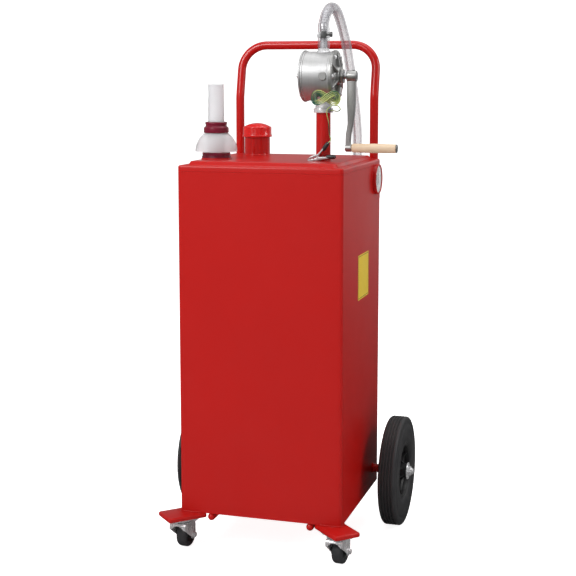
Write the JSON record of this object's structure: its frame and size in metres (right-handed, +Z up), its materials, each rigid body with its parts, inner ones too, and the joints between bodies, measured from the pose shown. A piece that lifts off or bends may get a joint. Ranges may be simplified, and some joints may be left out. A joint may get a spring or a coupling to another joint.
{
  "type": "wheeled fuel caddy",
  "caption": "Tall wheeled steel fuel tank with a rotary hand pump, crank, hose and nozzle, a filler cap, a float gauge, a level dial, a push handle and an earthing clip.",
  "frame": {"origin": "on the floor, in the middle of the footprint", "axes": "+Z up; the front with the casters faces -Y; +X is to the right of a viewer at the front"},
  "size_m": [0.619, 0.5307, 1.3287],
  "materials": {
    "tank_shell": "glossy red powder coat",
    "tank_top": "glossy red powder coat",
    "tank_bottom": "glossy red powder coat",
    "axle_sleeve": "glossy red powder coat",
    "filler_neck": "glossy red powder coat",
    "gauge_bung": "glossy red powder coat",
    "standpipe": "glossy red powder coat",
    "frame_rail_left": "glossy red powder coat",
    "frame_rail_right": "glossy red powder coat",
    "caster_plate_left": "glossy red powder coat",
    "caster_plate_right": "glossy red powder coat",
    "handle": "glossy red powder coat",
    "handle_bracket": "glossy red powder coat",
    "dial_housing": "glossy red powder coat",
    "filler_cap": "glossy red powder coat",
    "nozzle_hook": "glossy red powder coat",
    "rim_left": "black moulded plastic",
    "rim_right": "black moulded plastic",
    "caster_wheel_left": "black moulded plastic",
    "caster_wheel_right": "black moulded plastic",
    "dial_needle": "black moulded plastic",
    "nozzle_trigger": "black moulded plastic",
    "tyre_left": "black rubber tread",
    "tyre_right": "black rubber tread",
    "axle": "bright zinc plate",
    "axle_nut_left": "bright zinc plate",
    "axle_nut_right": "bright zinc plate",
    "caster_mount_left": "bright zinc plate",
    "caster_mount_right": "bright zinc plate",
    "caster_fork_left": "bright zinc plate",
    "caster_fork_right": "bright zinc plate",
    "handle_bolt_left": "bright zinc plate",
    "handle_bolt_right": "bright zinc plate",
    "grip_spindle": "bright zinc plate",
    "hose_clamp": "bright zinc plate",
    "clip_lower": "bright zinc plate",
    "clip_upper": "bright zinc plate",
    "pump_body": "cast aluminium",
    "pump_rear_cover": "cast aluminium",
    "pump_front_cover": "cast aluminium",
    "gland_nut": "cast aluminium",
    "crank_arm": "cast aluminium",
    "inlet_collar": "cast aluminium",
    "nozzle_body": "cast aluminium",
    "suction_tube": "plain steel",
    "pump_rotor": "plain steel",
    "nozzle_spout": "plain steel",
    "earth_lug": "plain steel",
    "crank_grip": "bare turned wood",
    "gauge_base": "burgundy plastic",
    "gauge_collar": "burgundy plastic",
    "gauge_float": "burgundy plastic",
    "gauge_dome": "frosted plastic",
    "sight_tube": "clear plastic",
    "dial_lens": "clear plastic",
    "dial_face": "pale printed disc",
    "hose": "clear PVC hose with a red stripe",
    "earth_hank": "green and yellow PVC sheath",
    "earth_tail": "green and yellow PVC sheath",
    "filler_gasket": "nitrile rubber"
  },
  "bodies": {
    "caddy": {"tank_shell": "tank_shell", "tank_top": "tank_top", "tank_bottom": "tank_bottom", "axle_sleeve": "axle_sleeve", "filler_neck": "filler_neck", "gauge_bung": "gauge_bung", "standpipe": "standpipe", "frame_rail_left": "frame_rail_left", "frame_rail_right": "frame_rail_right", "caster_plate_left": "caster_plate_left", "caster_plate_right": "caster_plate_right", "handle": "handle", "handle_bracket": "handle_bracket", "dial_housing": "dial_housing", "nozzle_hook": "nozzle_hook", "axle": "axle", "axle_nut_left": "axle_nut_left", "axle_nut_right": "axle_nut_right", "caster_mount_left": "caster_mount_left", "caster_mount_right": "caster_mount_right", "handle_bolt_left": "handle_bolt_left", "handle_bolt_right": "handle_bolt_right", "hose_clamp": "hose_clamp", "clip_lower": "clip_lower", "pump_body": "pump_body", "pump_rear_cover": "pump_rear_cover", "pump_front_cover": "pump_front_cover", "gland_nut": "gland_nut", "inlet_collar": "inlet_collar", "nozzle_body": "nozzle_body", "suction_tube": "suction_tube", "nozzle_spout": "nozzle_spout", "earth_lug": "earth_lug", "gauge_base": "gauge_base", "gauge_collar": "gauge_collar", "gauge_dome": "gauge_dome", "sight_tube": "sight_tube", "dial_lens": "dial_lens", "dial_face": "dial_face", "hose": "hose", "earth_hank": "earth_hank", "earth_tail": "earth_tail"},
    "crank": {"pump_rotor": "pump_rotor", "crank_arm": "crank_arm", "grip_spindle": "grip_spindle"},
    "grip": {"crank_grip": "crank_grip"},
    "wheel_left": {"tyre_left": "tyre_left", "rim_left": "rim_left"},
    "wheel_right": {"tyre_right": "tyre_right", "rim_right": "rim_right"},
    "caster_left": {"caster_fork_left": "caster_fork_left"},
    "caster_right": {"caster_fork_right": "caster_fork_right"},
    "roller_left": {"caster_wheel_left": "caster_wheel_left"},
    "roller_right": {"caster_wheel_right": "caster_wheel_right"},
    "cap": {"filler_cap": "filler_cap", "filler_gasket": "filler_gasket"},
    "float": {"gauge_float": "gauge_float"},
    "needle": {"dial_needle": "dial_needle"},
    "trigger": {"nozzle_trigger": "nozzle_trigger"},
    "clip_jaw": {"clip_upper": "clip_upper"}
  },
  "joints": [
    {"name": "crank_turn", "type": "hinge", "parent": "caddy", "child": "crank", "pos_m": [0.19, -0.07006, 1.147], "axis": [1, 0, 0], "continuous": true},
    {"name": "grip_spin", "type": "hinge", "parent": "crank", "child": "grip", "pos_m": [0.245, -0.07006, 0.978], "axis": [1, 0, 0], "continuous": true},
    {"name": "wheel_left_spin", "type": "hinge", "parent": "caddy", "child": "wheel_left", "pos_m": [-0.267, 0.12694, 0.1385], "axis": [1, 0, 0], "continuous": true},
    {"name": "wheel_right_spin", "type": "hinge", "parent": "caddy", "child": "wheel_right", "pos_m": [0.267, 0.12694, 0.1385], "axis": [1, 0, 0], "continuous": true},
    {"name": "caster_left_swivel", "type": "hinge", "parent": "caddy", "child": "caster_left", "pos_m": [-0.196, -0.20906, 0.07], "axis": [0, 0, 1], "continuous": true},
    {"name": "caster_right_swivel", "type": "hinge", "parent": "caddy", "child": "caster_right", "pos_m": [0.196, -0.20906, 0.07], "axis": [0, 0, 1], "continuous": true},
    {"name": "caster_left_roll", "type": "hinge", "parent": "caster_left", "child": "roller_left", "pos_m": [-0.19408, -0.18714, 0.031], "axis": [0.9962, -0.0872, 0], "continuous": true},
    {"name": "caster_right_roll", "type": "hinge", "parent": "caster_right", "child": "roller_right", "pos_m": [0.19792, -0.18714, 0.031], "axis": [0.9962, -0.0872, 0], "continuous": true},
    {"name": "cap_lift", "type": "slide", "parent": "caddy", "child": "cap", "axis": [0, 0, 1], "range_m": [0, 0.06]},
    {"name": "float_rise", "type": "slide", "parent": "caddy", "child": "float", "axis": [0, 0, 1], "range_m": [0, 0.095]},
    {"name": "needle_turn", "type": "hinge", "parent": "caddy", "child": "needle", "pos_m": [0.2077, 0.13694, 0.889], "axis": [1, 0, 0], "range_deg": [-70, 70]},
    {"name": "trigger_squeeze", "type": "hinge", "parent": "caddy", "child": "trigger", "pos_m": [-0.0995, 0.22244, 0.7473], "axis": [0, -1, 0], "range_deg": [0, 7], "stiffness_Nm_per_rad": 0.4},
    {"name": "clip_open", "type": "hinge", "parent": "caddy", "child": "clip_jaw", "pos_m": [0.1145, -0.09626, 0.95635], "axis": [0, 1, 0], "range_deg": [0, 25], "stiffness_Nm_per_rad": 0.15}
  ]
}
